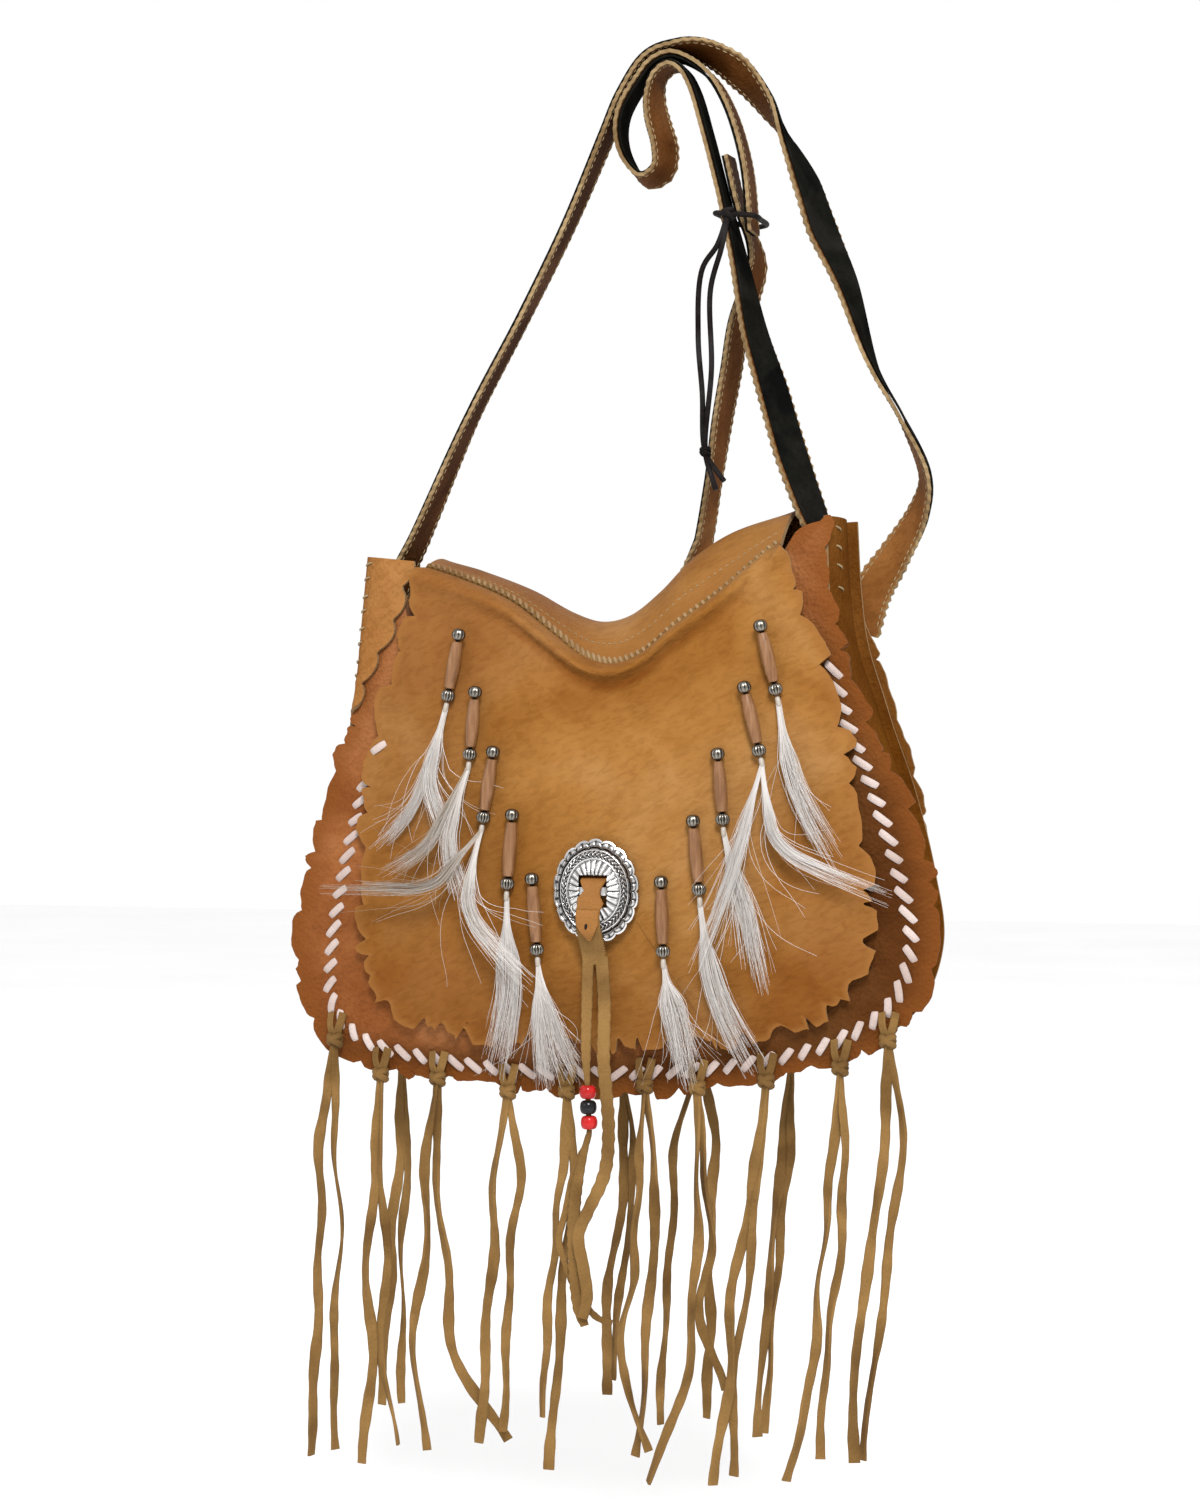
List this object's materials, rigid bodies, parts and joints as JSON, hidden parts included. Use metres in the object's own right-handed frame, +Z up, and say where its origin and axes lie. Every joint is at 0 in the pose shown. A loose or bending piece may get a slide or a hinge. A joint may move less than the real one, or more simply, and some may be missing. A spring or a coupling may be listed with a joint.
{
  "type": "crossbody saddle bag",
  "caption": "Soft leather crossbody saddle bag with scalloped edges, a laced front, a tan flap with bone hair-pipe drops, a silver concho and a knotted suede fringe.",
  "frame": {"origin": "in the straps where they cross the peg that holds the bag up", "axes": "+Z up, -Y out of the flap's face, +X to the right as the bag is seen from the front"},
  "size_m": [0.3173, 0.1017, 0.6827],
  "materials": {
    "russet_leather": "soft pebbled russet leather, worn",
    "olive_leather": "soft olive-tan leather",
    "tan_leather": "soft light tan leather, fine grain",
    "strap_leather": "tan strap leather with pale pinked edges",
    "black_lining": "matte black leather",
    "black_lace": "black leather lace",
    "suede": "tan suede thong",
    "bone": "polished pinkish bone",
    "antique_metal": "dark antique metal, fluted",
    "horse_hair": "pale horse hair",
    "silver": "cast silver, darkened in the hollows",
    "red_glass": "glossy red",
    "black_glass": "glossy black"
  },
  "bodies": {
    "root": {"front_panel": "russet_leather", "back_panel": "russet_leather", "gusset": "olive_leather", "flap": "tan_leather", "strap_left": "strap_leather", "strap_left_lining": "black_lining", "strap_right": "strap_leather", "strap_right_lining": "black_lining", "strap_back": "strap_leather", "strap_back_lining": "black_lining", "strap_lace": "black_lace", "drop_left_1_beads": "antique_metal", "drop_left_1_hair_pipe": "bone", "drop_left_1_tassel": "horse_hair", "drop_left_2_beads": "antique_metal", "drop_left_2_hair_pipe": "bone", "drop_left_2_tassel": "horse_hair", "drop_left_3_beads": "antique_metal", "drop_left_3_hair_pipe": "bone", "drop_left_3_tassel": "horse_hair", "drop_left_4_beads": "antique_metal", "drop_left_4_hair_pipe": "bone", "drop_left_4_tassel": "horse_hair", "drop_left_5_beads": "antique_metal", "drop_left_5_hair_pipe": "bone", "drop_left_5_tassel": "horse_hair", "drop_right_1_beads": "antique_metal", "drop_right_1_hair_pipe": "bone", "drop_right_1_tassel": "horse_hair", "drop_right_2_beads": "antique_metal", "drop_right_2_hair_pipe": "bone", "drop_right_2_tassel": "horse_hair", "drop_right_3_beads": "antique_metal", "drop_right_3_hair_pipe": "bone", "drop_right_3_tassel": "horse_hair", "drop_right_4_beads": "antique_metal", "drop_right_4_hair_pipe": "bone", "drop_right_4_tassel": "horse_hair", "drop_right_5_beads": "antique_metal", "drop_right_5_hair_pipe": "bone", "drop_right_5_tassel": "horse_hair", "concho": "silver", "concho_thong": "suede", "pony_bead_1": "red_glass", "pony_bead_2": "black_glass", "pony_bead_3": "red_glass", "fringe_front_1": "suede", "fringe_front_2": "suede", "fringe_front_3": "suede", "fringe_front_4": "suede", "fringe_front_5": "suede", "fringe_front_6": "suede", "fringe_front_7": "suede", "fringe_front_8": "suede", "fringe_front_9": "suede", "fringe_front_10": "suede", "fringe_back_1": "suede", "fringe_back_2": "suede", "fringe_back_3": "suede", "fringe_back_4": "suede"}
  },
  "joints": []
}
